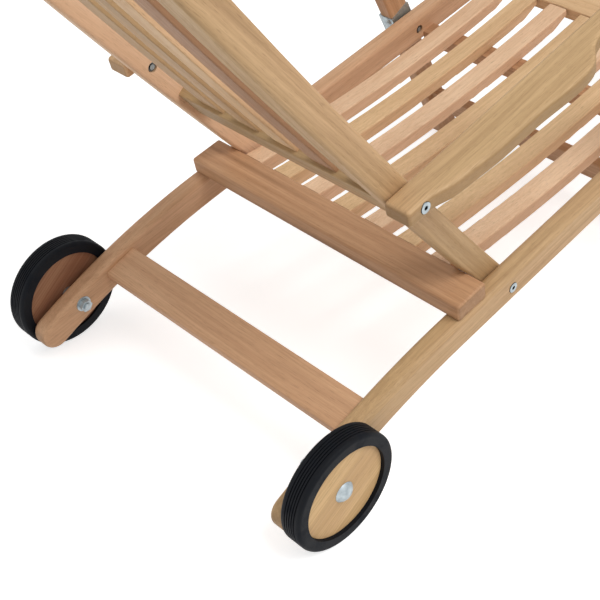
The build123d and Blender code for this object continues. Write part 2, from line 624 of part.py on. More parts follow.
# Arms: a paddle, narrow where it is bolted at each end and wide under the hand
arm_front_x = LEG_INNER_X - 2 * SIDE_CLEARANCE
arm_wide_x = INNER_HALF_WIDTH + ARM_WIDTH
arm_tip = arm_reach + ARM_FRONT_LENGTH
arm_shoulder_front = ARM_BULGE_END + ARM_SHOULDER
with BuildPart() as arm:
    with BuildSketch(arm_plane.offset(-ARM_THICKNESS / 2)):
        with BuildLine():
            Polyline(
                (0, arm_rear_x),
                (-ARM_REAR_LENGTH, arm_rear_x),
                (-ARM_REAR_LENGTH, INNER_HALF_WIDTH),
                (arm_tip, INNER_HALF_WIDTH),
                (arm_tip, arm_front_x),
                (arm_shoulder_front, arm_front_x),
            )
            outline = [
                (ARM_FULL * along, arm_rear_x + (ARM_WIDTH - ARM_REAR_WIDTH) * out)
                for along, out in ARM_SWELL_SHARES
            ]
            Spline(
                (0, arm_rear_x),
                *outline,
                (ARM_BULGE_END, arm_wide_x - ARM_TAPER),
                (arm_shoulder_front, arm_front_x),
                tangents=((1, 0), (1, 0)),
            )
        make_face()
    extrude(amount=ARM_THICKNESS)
    uprights = arm.edges().filter_by(GeomType.LINE).filter_by(Axis((0, 0, 0), arm_plane.z_dir))
    ends = uprights.group_by(Axis.Y)
    fillet(ends[0], radius=ARM_FRONT_CORNER)
    uprights = arm.edges().filter_by(GeomType.LINE).filter_by(Axis((0, 0, 0), arm_plane.z_dir))
    fillet(uprights.group_by(Axis.Y)[-1], radius=ARM_REAR_CORNER)
    arm_faces = arm.faces().filter_by(arm_plane).sort_by(Axis.Z)
    fillet(arm_faces[-1].edges(), radius=ARM_ROUNDING)
    fillet(arm.faces().filter_by(arm_plane).sort_by(Axis.Z)[0].edges(), radius=ARM_UNDERSIDE_ROUNDING)
    bore([arm_pivot], PIVOT_RADIUS + BOLT_FIT, INNER_HALF_WIDTH - CUT_OVERRUN, arm_wide_x + CUT_OVERRUN)
    head_recess(arm_pivot, arm_rear_x, -1)
    bore([arm_pivot], PIVOT_HEAD_RADIUS + HEAD_CLEARANCE, arm_rear_x, arm_wide_x + CUT_OVERRUN)
    bore([arm_front_pivot], PIVOT_HEAD_RADIUS, arm_front_x - INSERT_LENGTH, arm_front_x + CUT_OVERRUN)
save_pair(arm.part, "arm")

# Threaded bush in the arm's edge, where the leg's bolt meets it
with BuildPart() as arm_insert:
    rod([arm_front_pivot], PIVOT_HEAD_RADIUS, arm_front_x - INSERT_LENGTH, arm_front_x)
save_pair(arm_insert.part, "arm_insert")

# Front legs, one straight member from the ground to the arm on each side
leg_below = leg_pivot[1] / cos(radians(LEG_LEAN)) + LEG_WIDTH
half_leg = LEG_WIDTH / 2
with BuildPart() as leg:
    with BuildSketch(at_x(leg_plane, LEG_OUTER_X)):
        with Locations(((leg_reach - leg_below) / 2, 0)):
            Rectangle(leg_reach + leg_below, LEG_WIDTH)
        with Locations((leg_reach, 0)):
            Circle(half_leg)
    extrude(amount=LEG_THICKNESS)
    leg_sides = leg.faces().sort_by(Axis.X)
    fillet(leg_sides[0].edges() + leg_sides[-1].edges(), radius=LEG_ROUNDING)
    split(bisect_by=Plane.XY, keep=Keep.TOP)
    through = (LEG_INNER_X - CUT_OVERRUN, LEG_OUTER_X + CUT_OVERRUN)
    bore([leg_pivot], PIVOT_RADIUS + BOLT_FIT, *through)
    bore([arm_front_pivot], PIVOT_RADIUS, *through)
    head_recess(arm_front_pivot, LEG_OUTER_X, -1)
    with Locations(leg_plane.offset(-(LEG_INNER_X + LEG_THICKNESS / 2))):
        with Locations(Location((STRAP_BOLT_UP, half_leg, 0), (RIGHT_ANGLE, 0, 0))):
            Cylinder(STRAP_BOLT_RADIUS, 2 * STRAP_BOLT_LENGTH, mode=Mode.SUBTRACT)
save_pair(leg.part, "leg_post")

# Stretcher between the legs, under the rails
with BuildPart() as leg_stretcher:
    with BuildSketch(leg_plane):
        with Locations((-LEG_STRETCHER_DROP, 0)):
            Rectangle(LEG_STRETCHER_WIDTH, LEG_STRETCHER_THICKNESS)
    extrude(amount=LEG_INNER_X, both=True)
    fillet(leg_stretcher.edges().filter_by(Axis.X), radius=SMALL_ROUNDING)
save(leg_stretcher.part, "leg_stretcher")

# Zinc straps folded round the legs' rear faces where they cross the rails
with BuildPart() as leg_straps:
    for side in (1, -1):
        leg_middle_x = side * (LEG_INNER_X + LEG_THICKNESS / 2)
        with BuildSketch(at_x(leg_plane, leg_middle_x)):
            with Locations((0, STRAP_THICKNESS / 2)):
                Rectangle(STRAP_LENGTH, LEG_WIDTH + STRAP_THICKNESS)
        extrude(amount=LEG_THICKNESS / 2 + STRAP_THICKNESS, both=True)
        with BuildSketch(at_x(leg_plane, leg_middle_x)):
            with Locations((0, -CUT_OVERRUN / 2)):
                Rectangle(STRAP_LENGTH + 2 * CUT_OVERRUN, LEG_WIDTH + CUT_OVERRUN)
        extrude(amount=LEG_THICKNESS / 2, both=True, mode=Mode.SUBTRACT)
        through = (leg_middle_x - LEG_THICKNESS, leg_middle_x + LEG_THICKNESS)
        bore([leg_pivot], PIVOT_RADIUS + BOLT_FIT, *through)
        with Locations(at_x(leg_plane, leg_middle_x)):
            with Locations(Location((STRAP_BOLT_UP, half_leg, 0), (RIGHT_ANGLE, 0, 0))):
                Cylinder(STRAP_BOLT_RADIUS, LEG_WIDTH, mode=Mode.SUBTRACT)
save(leg_straps.part, "leg_straps")

# Domed bolts through the straps into the legs' rear faces
strap_face = half_leg + STRAP_THICKNESS
strap_dome_radius = (STRAP_BOLT_HEAD_RADIUS**2 + STRAP_BOLT_HEAD_HEIGHT**2) / (2 * STRAP_BOLT_HEAD_HEIGHT)
with BuildPart() as strap_bolts:
    for side in (1, -1):
        bolt_plane = at_x(leg_plane, side * (LEG_INNER_X + LEG_THICKNESS / 2))
        with BuildSketch(bolt_plane):
            with BuildLine():
                inner_end = strap_face - STRAP_BOLT_LENGTH
                Polyline(
                    (STRAP_BOLT_UP, strap_face + STRAP_BOLT_HEAD_HEIGHT),
                    (STRAP_BOLT_UP, inner_end),
                    (STRAP_BOLT_UP + STRAP_BOLT_RADIUS, inner_end),
                    (STRAP_BOLT_UP + STRAP_BOLT_RADIUS, strap_face),
                    (STRAP_BOLT_UP + STRAP_BOLT_HEAD_RADIUS, strap_face),
                )
                RadiusArc(
                    (STRAP_BOLT_UP + STRAP_BOLT_HEAD_RADIUS, strap_face),
                    (STRAP_BOLT_UP, strap_face + STRAP_BOLT_HEAD_HEIGHT),
                    -strap_dome_radius,
                )
            make_face()
        axis_start = bolt_plane.from_local_coords((STRAP_BOLT_UP, 0, 0))
        revolve(axis=Axis(axis_start, bolt_plane.y_dir))
save(strap_bolts.part, "strap_bolts")

# Bolts at the tops of the legs, which end at the legs' inner faces
with BuildPart() as arm_front_bolts:
    for side in (1, -1):
        outer = side * (LEG_OUTER_X + PIVOT_HEAD_PROUD)
        rod([arm_front_pivot], PIVOT_RADIUS, side * LEG_INNER_X, outer)
        rod([arm_front_pivot], PIVOT_HEAD_RADIUS, outer - side * PIVOT_HEAD_THICKNESS, outer)
        bore([arm_front_pivot], PIVOT_SOCKET_RADIUS, outer - side * PIVOT_SOCKET_DEPTH, outer)
save(arm_front_bolts.part, "arm_front_bolts")

# Leg rest side rails, between the seat's rails at their hinge
with BuildPart() as leg_rest_rail:
    with BuildSketch(at_x(leg_rest_plane, STILE_OUTER_X)):
        with Locations((LEG_REST_LENGTH / 2, 0)):
            SlotCenterToCenter(LEG_REST_LENGTH, LEG_REST_DEPTH)
    extrude(amount=STILE_THICKNESS)
    leg_rest_sides = leg_rest_rail.faces().sort_by(Axis.X)
    fillet(leg_rest_sides[0].edges() + leg_rest_sides[-1].edges(), radius=STILE_ROUNDING)
    through = (STILE_INNER_X - CUT_OVERRUN, STILE_OUTER_X + CUT_OVERRUN)
    bore([front_hinge], PIVOT_RADIUS + BOLT_FIT, *through)
    bore([foot_pivot], PIVOT_RADIUS, *through)
    nut_recess(front_hinge, STILE_INNER_X, 1)
    nut_recess(foot_pivot, STILE_INNER_X, 1)
save_pair(leg_rest_rail.part, "leg_rest_rail")

# Leg rest slats in line with the seat's, on two bearers, closed by an end board
board_start = LEG_REST_LENGTH - LEG_REST_BOARD_SETBACK
slat_end = board_start - SLAT_END_GAP
slat_underside = leg_rest_half_depth - LEG_REST_SLAT_THICKNESS
slat_middle = leg_rest_half_depth - LEG_REST_SLAT_THICKNESS / 2
for number in range(SLAT_COUNT):
    slat_x = (number - (SLAT_COUNT - 1) / 2) * SLAT_PITCH
    with BuildPart() as leg_rest_slat:
        with BuildSketch(at_x(leg_rest_plane, slat_x)):
            with Locations(((LEG_REST_SLAT_START + slat_end) / 2, slat_middle)):
                Rectangle(slat_end - LEG_REST_SLAT_START, LEG_REST_SLAT_THICKNESS)
        extrude(amount=SLAT_WIDTH / 2, both=True)
        long_edges = leg_rest_slat.edges().filter_by(Axis((0, 0, 0), leg_rest_plane.x_dir))
        fillet(long_edges, radius=SLAT_ROUNDING)
    save(leg_rest_slat.part, f"leg_rest_slat_{number + 1}")

for name, share in zip(("leg_rest_bearer_rear", "leg_rest_bearer_front"), LEG_REST_BEARER_SHARES):
    with BuildPart() as leg_rest_bearer:
        with BuildSketch(leg_rest_plane):
            with Locations((slat_end * share, (slat_underside - leg_rest_half_depth) / 2)):
                Rectangle(BEARER_WIDTH, slat_underside + leg_rest_half_depth)
        extrude(amount=STILE_INNER_X, both=True)
    save(leg_rest_bearer.part, name)

with BuildPart() as leg_rest_end_board:
    with BuildSketch(leg_rest_plane):
        with Locations((board_start + LEG_REST_BOARD_WIDTH / 2, slat_middle)):
            Rectangle(LEG_REST_BOARD_WIDTH, LEG_REST_SLAT_THICKNESS)
    extrude(amount=STILE_INNER_X, both=True)
    fillet(leg_rest_end_board.edges().filter_by(Axis.X), radius=SMALL_ROUNDING)
save(leg_rest_end_board.part, "leg_rest_end_board")

# Feet of the leg rest, outside its rails, with a bar between them
foot_length = foot_pivot[1] / cos(radians(FOOT_LEAN)) + FOOT_WIDTH
with BuildPart() as foot_leg:
    with BuildSketch(at_x(foot_plane, FOOT_OUTER_X)):
        with Locations((foot_length / 2, 0)):
            Rectangle(foot_length, FOOT_WIDTH)
        Circle(FOOT_WIDTH / 2)
    extrude(amount=FOOT_THICKNESS)
    foot_sides = foot_leg.faces().sort_by(Axis.X)
    fillet(foot_sides[0].edges() + foot_sides[-1].edges(), radius=LEG_ROUNDING)
    split(bisect_by=Plane.XY, keep=Keep.TOP)
    bore([foot_pivot], PIVOT_RADIUS + BOLT_FIT, FOOT_INNER_X - CUT_OVERRUN, FOOT_OUTER_X + CUT_OVERRUN)
    head_recess(foot_pivot, FOOT_OUTER_X, -1)
save_pair(foot_leg.part, "foot_leg")

with BuildPart() as foot_bar:
    with BuildSketch(foot_plane):
        with Locations((FOOT_BAR_DROP, 0)):
            Rectangle(FOOT_BAR_WIDTH, FOOT_BAR_THICKNESS)
    extrude(amount=FOOT_INNER_X, both=True)
    fillet(foot_bar.edges().filter_by(Axis.X), radius=SMALL_ROUNDING)
save(foot_bar.part, "foot_bar")

with BuildPart() as foot_pivot_bolts:
    for side in (1, -1):
        pivot_bolt(foot_pivot, side, STILE_INNER_X, FOOT_OUTER_X)
save(foot_pivot_bolts.part, "foot_pivot_bolts")

for name, pivot in (
    ("axle", axle),
    ("back pivot", back_pivot),
    ("leg pivot", leg_pivot),
    ("leg rest hinge", front_hinge),
    ("arm pivot", arm_pivot),
    ("arm front pivot", arm_front_pivot),
    ("foot pivot", foot_pivot),
):
    print(f"{name}: y {pivot[0]:.3f}, z {pivot[1]:.3f}")
print(f"arm {arm_reach:.1f} and leg {leg_reach:.1f} between pivots, back bar front at {bar_front:.2f}")
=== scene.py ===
"""Wheeled teak deck chair: wood, rubber and zinc finishes, thread of the axle bolts, studio and camera."""
import json
import math
from collections import namedtuple

import bpy
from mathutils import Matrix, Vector


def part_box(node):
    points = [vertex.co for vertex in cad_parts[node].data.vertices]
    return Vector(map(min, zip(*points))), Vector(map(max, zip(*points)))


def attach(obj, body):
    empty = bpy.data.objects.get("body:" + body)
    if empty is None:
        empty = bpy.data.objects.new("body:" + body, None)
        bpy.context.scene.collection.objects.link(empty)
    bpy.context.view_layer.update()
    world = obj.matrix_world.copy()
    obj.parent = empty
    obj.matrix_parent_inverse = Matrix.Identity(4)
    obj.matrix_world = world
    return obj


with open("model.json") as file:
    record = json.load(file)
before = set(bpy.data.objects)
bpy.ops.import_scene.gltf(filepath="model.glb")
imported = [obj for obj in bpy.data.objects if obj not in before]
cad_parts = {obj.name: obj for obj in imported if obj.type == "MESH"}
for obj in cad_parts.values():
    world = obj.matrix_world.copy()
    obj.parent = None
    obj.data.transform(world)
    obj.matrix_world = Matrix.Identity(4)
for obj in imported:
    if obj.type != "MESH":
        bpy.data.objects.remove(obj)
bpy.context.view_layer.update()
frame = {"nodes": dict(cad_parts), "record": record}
nodes = frame["nodes"]


def srgb(red, green, blue):
    """Linear colour of three display values from 0 to 255."""
    linear = []
    for value in (red / 255, green / 255, blue / 255):
        linear.append(value / 12.92 if value <= 0.04045 else ((value + 0.055) / 1.055) ** 2.4)
    return (*linear, 1.0)


class Net:
    """A node tree that is filled node by node."""

    def __init__(self, tree):
        self.tree = tree

    def feed(self, node, inputs):
        """Links or sets the inputs of a node."""
        for socket, value in inputs.items():
            target = node.inputs[socket] if isinstance(socket, (str, int)) else socket
            if isinstance(value, bpy.types.NodeSocket):
                self.tree.links.new(value, target)
            else:
                target.default_value = value

    def add(self, kind, inputs=None, **settings):
        node = self.tree.nodes.new(kind)
        for name, value in settings.items():
            setattr(node, name, value)
        self.feed(node, inputs or {})
        return node

    def texture(self, vector, per_metre, detail, roughness):
        """Noise with so many features per metre, first with the grain and then over it."""
        along, across = per_metre
        place = self.add("ShaderNodeVectorMath", {0: vector, 1: (across, along, across)}, operation="MULTIPLY")
        return self.add("ShaderNodeTexNoise", {
            "Vector": place.outputs[0], "Scale": 1.0, "Detail": detail, "Roughness": roughness}).outputs

    def noise(self, vector, per_metre, detail, roughness):
        return self.texture(vector, per_metre, detail, roughness)["Fac"]

    def spread(self, value, low, high, bottom=0.0, top=1.0):
        """Takes `value` from low..high to bottom..top, clamped and smooth."""
        return self.add("ShaderNodeMapRange", {
            "Value": value, "From Min": low, "From Max": high, "To Min": bottom, "To Max": top},
            interpolation_type="SMOOTHSTEP").outputs["Result"]

    def mix(self, factor, first, second, blend="MIX"):
        node = self.add("ShaderNodeMix", data_type="RGBA", blend_type=blend, clamp_factor=True)
        sockets = {socket.identifier: socket for socket in node.inputs}
        self.feed(node, {sockets["Factor_Float"]: factor, sockets["A_Color"]: first, sockets["B_Color"]: second})
        return next(socket for socket in node.outputs if socket.identifier == "Result_Color")

    def maths(self, operation, first, second=0.0):
        return self.add("ShaderNodeMath", {0: first, 1: second}, operation=operation).outputs[0]


def new_finish(name):
    """A new finish with its net of nodes and its shader."""
    finish = bpy.data.materials.new(name)
    finish.use_nodes = True
    return finish, Net(finish.node_tree), finish.node_tree.nodes["Principled BSDF"]


def dress(node, finish):
    """Gives a piece of the frame its finish."""
    slots = nodes[node].data.materials
    slots.clear()
    slots.append(finish)


# ---------------------------------------------------------------- sawn teak

# Features per metre, with the grain and over it
SWAY = (3.0, 9.0)
GROWTH_BANDS = (1.6, 75)
FINE_LINES = (3.5, 330)
FIBRES = (22, 900)
PORES = (60, 1300)
PATCHES = (2.4, 14)
HEART_STREAKS = (1.1, 26)

SWAY_WIDTH = 0.012
PATCH_AMOUNT, LINE_AMOUNT, PORE_AMOUNT, END_GRAIN = 0.35, 0.4, 0.3, 0.45
FIBRE_RANGE = (0.32, 0.68)
FIBRE_DARKEST = {"Red": 0.92, "Green": 0.91, "Blue": 0.89}
FIBRE_LIGHTEST = 1.04
RELIEF_STRENGTH, RELIEF_DEPTH = 0.32, 0.0006
TEAK_SHINE = 0.3

WARM_PATCH = srgb(208, 164, 126)
PORE_BROWN = srgb(110, 78, 52)
END_BROWN = srgb(128, 96, 62)
# Default side tone: partly the edge grain's own tone, partly painted shade of the sides.
SIDE_TONE_AND_SHADE = srgb(226, 176, 142)

VECTOR, COLOUR, NUMBER = "NodeSocketVector", "NodeSocketColor", "NodeSocketFloat"


def sawn_teak():
    """Group that draws planed teak: growth bands, fibres, pores, a dark heart streak and end grain, and a side tone
    that is partly the edge grain's own and partly painted shade.
    """
    tree = bpy.data.node_groups.new("sawn teak", "ShaderNodeTree")
    for name, kind in (
            ("Grain Turn", VECTOR), ("Board Shift", VECTOR), ("Pale Wood", COLOUR), ("Deep Wood", COLOUR),
            ("Heart Wood", COLOUR), ("Heart Amount", NUMBER), ("Band Strength", NUMBER), ("Side Tone And Shade Share", NUMBER),
            ("Side Wood And Shade", COLOUR), ("End Grain", NUMBER)):
        tree.interface.new_socket(name, in_out="INPUT", socket_type=kind)
    for name, kind in (("Color", COLOUR), ("Roughness", NUMBER), ("Normal", VECTOR)):
        tree.interface.new_socket(name, in_out="OUTPUT", socket_type=kind)
    net = Net(tree)
    given = net.add("NodeGroupInput").outputs
    place = net.add("ShaderNodeTexCoord").outputs
    board = net.add("ShaderNodeMapping", {
        "Vector": place["Object"], "Rotation": given["Grain Turn"], "Location": given["Board Shift"]},
        vector_type="TEXTURE").outputs[0]
    facing = net.add("ShaderNodeMapping", {
        "Vector": place["Normal"], "Rotation": given["Grain Turn"]}, vector_type="TEXTURE").outputs[0]

    sway = net.texture(board, SWAY, 1.0, 0.5)["Color"]
    swayed = net.add("ShaderNodeVectorMath", {0: sway, 1: (SWAY_WIDTH, 0.0, SWAY_WIDTH), 2: board},
                     operation="MULTIPLY_ADD").outputs[0]
    bands = net.spread(net.noise(swayed, GROWTH_BANDS, 2.0, 0.5), 0.3, 0.7)
    lines = net.noise(swayed, FINE_LINES, 3.0, 0.6)
    fibres = net.noise(board, FIBRES, 3.0, 0.65)
    pores = net.spread(net.noise(board, PORES, 1.0, 0.5), 0.62, 0.74)
    patches = net.spread(net.noise(board, PATCHES, 1.0, 0.5), 0.35, 0.7)
    heart = net.spread(net.noise(swayed, HEART_STREAKS, 2.0, 0.45), 0.56, 0.68)

    # Sideways faces go over to the side tone: partly the edge grain's own tone, partly painted shade of sides that
    # take less light than tops.
    upright = net.add("ShaderNodeSeparateXYZ", {0: place["Normal"]}).outputs["Z"]
    side = net.spread(net.maths("ABSOLUTE", upright), 0.3, 0.75, 1.0, 0.0)
    side_toned_and_shaded = net.mix(net.maths("MULTIPLY", side, given["Side Tone And Shade Share"]), given["Pale Wood"], given["Side Wood And Shade"])
    banded = net.mix(net.maths("MULTIPLY", bands, given["Band Strength"]), side_toned_and_shaded, given["Deep Wood"])
    warm = net.mix(net.maths("MULTIPLY", patches, PATCH_AMOUNT), banded, WARM_PATCH)
    hearted = net.mix(net.maths("MULTIPLY", heart, given["Heart Amount"]), warm, given["Heart Wood"])
    lined = net.mix(net.spread(lines, 0.36, 0.68, 0.0, LINE_AMOUNT), hearted, given["Deep Wood"])
    shade = net.add("ShaderNodeCombineColor", {
        channel: net.spread(fibres, *FIBRE_RANGE, darkest, FIBRE_LIGHTEST)
        for channel, darkest in FIBRE_DARKEST.items()}).outputs[0]
    fibred = net.mix(1.0, lined, shade, "MULTIPLY")
    pored = net.mix(net.maths("MULTIPLY", pores, PORE_AMOUNT), fibred, PORE_BROWN)
    end = net.add("ShaderNodeSeparateXYZ", {0: facing}).outputs["Y"]
    ending = net.spread(net.maths("ABSOLUTE", end), 0.72, 0.97)
    colour = net.mix(net.maths("MULTIPLY", ending, given["End Grain"]), pored, END_BROWN)

    relief = net.maths("SUBTRACT", net.maths("MULTIPLY", fibres, 0.6), net.maths("MULTIPLY", pores, 0.5))
    relief = net.maths("ADD", relief, net.maths("MULTIPLY", lines, 0.5))
    bump = net.add("ShaderNodeBump", {
        "Strength": RELIEF_STRENGTH, "Distance": RELIEF_DEPTH, "Height": relief}).outputs[0]
    rough = net.spread(net.maths("ADD", lines, net.maths("MULTIPLY", pores, 0.4)), 0.3, 0.9, 0.48, 0.72)
    net.add("NodeGroupOutput", {"Color": colour, "Roughness": rough, "Normal": bump})
    return tree


TEAK = sawn_teak()

# Tones of the wood. The fourth field is how far the board's sides go over to the fifth, the side tone, which is
# partly the edge grain's own tone and partly painted shade of the sides.
Wood = namedtuple("Wood", "pale deep heart blush side", defaults=(SIDE_TONE_AND_SHADE,))
KHAKI = Wood(srgb(202, 169, 125), srgb(164, 131, 91), srgb(124, 92, 58), 0.1)
OLIVE = Wood(srgb(190, 160, 118), srgb(150, 120, 82), srgb(110, 82, 52), 0.05)
GOLDEN = Wood(srgb(232, 197, 152), srgb(200, 162, 117), srgb(158, 118, 78), 0.35)
HONEY = Wood(srgb(224, 188, 136), srgb(188, 150, 102), srgb(150, 110, 70), 0.0)
BROWN = Wood(srgb(176, 134, 100), srgb(146, 106, 76), srgb(106, 70, 48), 0.0)
PINKISH = Wood(srgb(238, 203, 168), srgb(214, 172, 135), srgb(176, 130, 96), 0.4)
ROSY = Wood(srgb(216, 174, 137), srgb(186, 141, 105), srgb(144, 100, 69), 0.3)
REDDISH = Wood(srgb(200, 156, 118), srgb(168, 123, 87), srgb(120, 83, 55), 0.15)
DARK_RED = Wood(srgb(142, 96, 70), srgb(114, 72, 50), srgb(86, 52, 35), 0.1)
# Khaki whose sides go strongly over to a dark tone: painted shade on the sides of the right arm.
SHADE_SIDED_KHAKI = KHAKI._replace(blush=0.8, side=srgb(152, 120, 78))


def dress_in_teak(node, wood, heart, bands, seed, lean=0.0, across=False):
    """Teak for one board, with the grain `lean` degrees above the chair's length, or across the chair."""
    finish, net, shader = new_finish(f"teak {node.replace('_', ' ')}")
    turn = (0, 0, math.radians(-90)) if across else (math.radians(lean), 0, 0)
    shift = (0.313 * seed % 1.7, 0.771 * seed % 2.3, 0.529 * seed % 1.9)
    grain = net.add("ShaderNodeGroup", node_tree=TEAK)
    net.feed(grain, {
        "Grain Turn": turn, "Board Shift": shift, "Pale Wood": wood.pale, "Deep Wood": wood.deep,
        "Heart Wood": wood.heart, "Heart Amount": heart, "Band Strength": bands, "Side Tone And Shade Share": wood.blush,
        "Side Wood And Shade": wood.side, "End Grain": END_GRAIN})
    net.feed(shader, {
        "Base Color": grain.outputs["Color"], "Roughness": grain.outputs["Roughness"],
        "Normal": grain.outputs["Normal"], "Specular IOR Level": TEAK_SHINE})
    dress(node, finish)


# Lean of the grain in degrees
RAIL_LEAN, SLAT_LEAN, BACK_LEAN, ARM_LEAN, LEG_LEAN = -13, -12, 48, -15, 60
REST_LEAN, FOOT_LEAN = 6, 80

# Boards that run along the chair, and the wheel discs: wood, lean of the grain, heart, bands
LONG_PIECES = {
    "rail_left": (ROSY, RAIL_LEAN, 0.15, 0.5),
    "rail_right": (KHAKI, RAIL_LEAN, 0.2, 0.5),
    "stile_left": (PINKISH, BACK_LEAN, 0.1, 0.5),
    "stile_right": (KHAKI, BACK_LEAN, 0.3, 0.7),
    "arm_left": (GOLDEN, ARM_LEAN, 0.25, 0.6),
    "back_slat_1": (KHAKI, BACK_LEAN, 0.2, 0.5),
    "back_slat_2": (BROWN, BACK_LEAN, 0.5, 0.6),
    "back_slat_3": (GOLDEN, BACK_LEAN, 0.2, 0.5),
    "back_slat_4": (KHAKI, BACK_LEAN, 0.2, 0.5),
    "back_slat_5": (KHAKI, BACK_LEAN, 0.2, 0.5),
    "seat_slat_1": (PINKISH, SLAT_LEAN, 0.1, 0.4),
    "seat_slat_2": (GOLDEN, SLAT_LEAN, 0.15, 0.5),
    "seat_slat_3": (PINKISH, SLAT_LEAN, 0.25, 0.5),
    "seat_slat_4": (GOLDEN, SLAT_LEAN, 0.1, 0.5),
    "seat_slat_5": (PINKISH, SLAT_LEAN, 0.15, 0.4),
    "seat_slat_6": (GOLDEN, SLAT_LEAN, 0.2, 0.5),
    "seat_slat_7": (PINKISH, SLAT_LEAN, 0.1, 0.4),
    "leg_post_left": (REDDISH, LEG_LEAN, 0.2, 0.5),
    "leg_post_right": (REDDISH, LEG_LEAN, 0.25, 0.5),
    "leg_rest_rail_left": (GOLDEN, REST_LEAN, 0.2, 0.5),
    "leg_rest_rail_right": (PINKISH, REST_LEAN, 0.2, 0.5),
    "leg_rest_slat_1": (GOLDEN, REST_LEAN, 0.1, 0.5),
    "leg_rest_slat_2": (PINKISH, REST_LEAN, 0.15, 0.4),
    "leg_rest_slat_3": (GOLDEN, REST_LEAN, 0.2, 0.5),
    "leg_rest_slat_4": (ROSY, REST_LEAN, 0.1, 0.4),
    "leg_rest_slat_5": (GOLDEN, REST_LEAN, 0.15, 0.5),
    "leg_rest_slat_6": (KHAKI, REST_LEAN, 0.2, 0.5),
    "leg_rest_slat_7": (PINKISH, REST_LEAN, 0.1, 0.4),
    "foot_leg_left": (GOLDEN, FOOT_LEAN, 0.2, 0.5),
    "foot_leg_right": (PINKISH, FOOT_LEAN, 0.2, 0.5),
    "wheel_disc_left": (DARK_RED, -40, 0.3, 0.6),
    "wheel_disc_right": (HONEY, -34, 0.2, 0.7),
}
for seed, (node, (wood, lean, heart, bands)) in enumerate(LONG_PIECES.items(), 1):
    dress_in_teak(node, wood, heart, bands, seed, lean=lean)

# The right arm's sides are darker: painted shade on its rounded sides.
dress_in_teak("arm_right", SHADE_SIDED_KHAKI, heart=0.4, bands=0.35, seed=6, lean=ARM_LEAN)

# Boards that run across the chair: wood, heart, bands
CROSS_PIECES = {
    "rear_stretcher": (ROSY, 0.3, 0.5),
    "back_bar": (REDDISH, 0.7, 0.7),
    "seat_bearer": (REDDISH, 0.2, 0.5),
    "seat_front_board": (GOLDEN, 0.1, 0.6),
    "back_lower_rail": (OLIVE, 0.4, 0.7),
    "back_top_rail": (GOLDEN, 0.2, 0.6),
    "leg_stretcher": (REDDISH, 0.2, 0.5),
    "leg_rest_bearer_rear": (REDDISH, 0.2, 0.5),
    "leg_rest_bearer_front": (ROSY, 0.2, 0.5),
    "leg_rest_end_board": (GOLDEN, 0.2, 0.6),
    "foot_bar": (GOLDEN, 0.2, 0.5),
}
FIRST_CROSS_SEED = 51
for seed, (node, (wood, heart, bands)) in enumerate(CROSS_PIECES.items(), FIRST_CROSS_SEED):
    dress_in_teak(node, wood, heart, bands, seed, across=True)


# ---------------------------------------------------------------- tyres and fasteners

# Features per metre, along the chair and over it
DUST, TOOTH = (35, 35), (1600, 1600)
CLOUDS, SCRATCHES = (140, 140), (240, 2600)

RUBBER_SHINE = 0.16
# Reach of the painted shade inside the sockets of the bolt heads
SOCKET_SHADE_REACH = 0.006
SOCKETED = ("back_pivot_bolts", "leg_pivot_bolts", "arm_pivot_bolts")


def tyre_rubber():
    """Black rubber with a faint blue cast, dusty in places, with a moulded tooth to its surface."""
    finish, net, shader = new_finish("tyre rubber")
    place = net.add("ShaderNodeTexCoord").outputs["Object"]
    dust = net.spread(net.noise(place, DUST, 4.0, 0.6), 0.45, 0.75)
    tooth = net.noise(place, TOOTH, 2.0, 0.6)
    colour = net.mix(net.maths("MULTIPLY", dust, 0.5), srgb(8, 11, 17), srgb(19, 23, 31))
    rough = net.spread(net.maths("ADD", dust, tooth), 0.4, 1.4, 0.6, 0.8)
    bump = net.add("ShaderNodeBump", {"Strength": 0.25, "Distance": 0.0004, "Height": tooth}).outputs[0]
    net.feed(shader, {
        "Base Color": colour, "Roughness": rough, "Normal": bump, "Specular IOR Level": RUBBER_SHINE})
    return finish


def zinc_plate(name, socketed=False):
    """Zinc plating with a satin, lightly clouded surface. A socketed head gets painted shade, near black, inside
    its socket.
    """
    finish, net, shader = new_finish(name)
    place = net.add("ShaderNodeTexCoord").outputs["Object"]
    clouds = net.noise(place, CLOUDS, 3.0, 0.6)
    scratches = net.noise(place, SCRATCHES, 2.0, 0.6)
    colour = net.mix(net.spread(clouds, 0.35, 0.7), srgb(178, 188, 192), srgb(158, 168, 173))
    if socketed:
        # Painted shade: the enclosed hollow of the socket goes over to near black.
        socket_shade = net.add("ShaderNodeAmbientOcclusion", {"Distance": SOCKET_SHADE_REACH}, samples=8).outputs["AO"]
        colour = net.mix(net.spread(socket_shade, 0.35, 0.9), srgb(30, 30, 32), colour)
    rough = net.spread(net.maths("ADD", clouds, scratches), 0.7, 1.3, 0.42, 0.54)
    bump = net.add("ShaderNodeBump", {"Strength": 0.06, "Distance": 0.0002, "Height": scratches}).outputs[0]
    net.feed(shader, {"Base Color": colour, "Roughness": rough, "Normal": bump, "Metallic": 1.0})
    return finish


RUBBER = tyre_rubber()
ZINC = zinc_plate("zinc plate")
# Finish with painted shade inside the sockets of the bolt heads
SOCKET_SHADED_ZINC = zinc_plate("zinc plate, painted shade in sockets", socketed=True)
for node in ("tyre_left", "tyre_right"):
    dress(node, RUBBER)
for entry in frame["record"]["subparts"]:
    if entry["material_slot"] == "zinc":
        dress(entry["node"], SOCKET_SHADED_ZINC if entry["node"] in SOCKETED else ZINC)


# ---------------------------------------------------------------- thread of the axle bolts

THREAD_PITCH = 0.00125
RIDGE_RADIUS = 0.0004
RIDGE_SIDES, BOLT_SIDES = 8, 40
BOLT_RADIUS = 0.005
END_BEVEL = 0.0006
SAME_PLACE = 0.0002


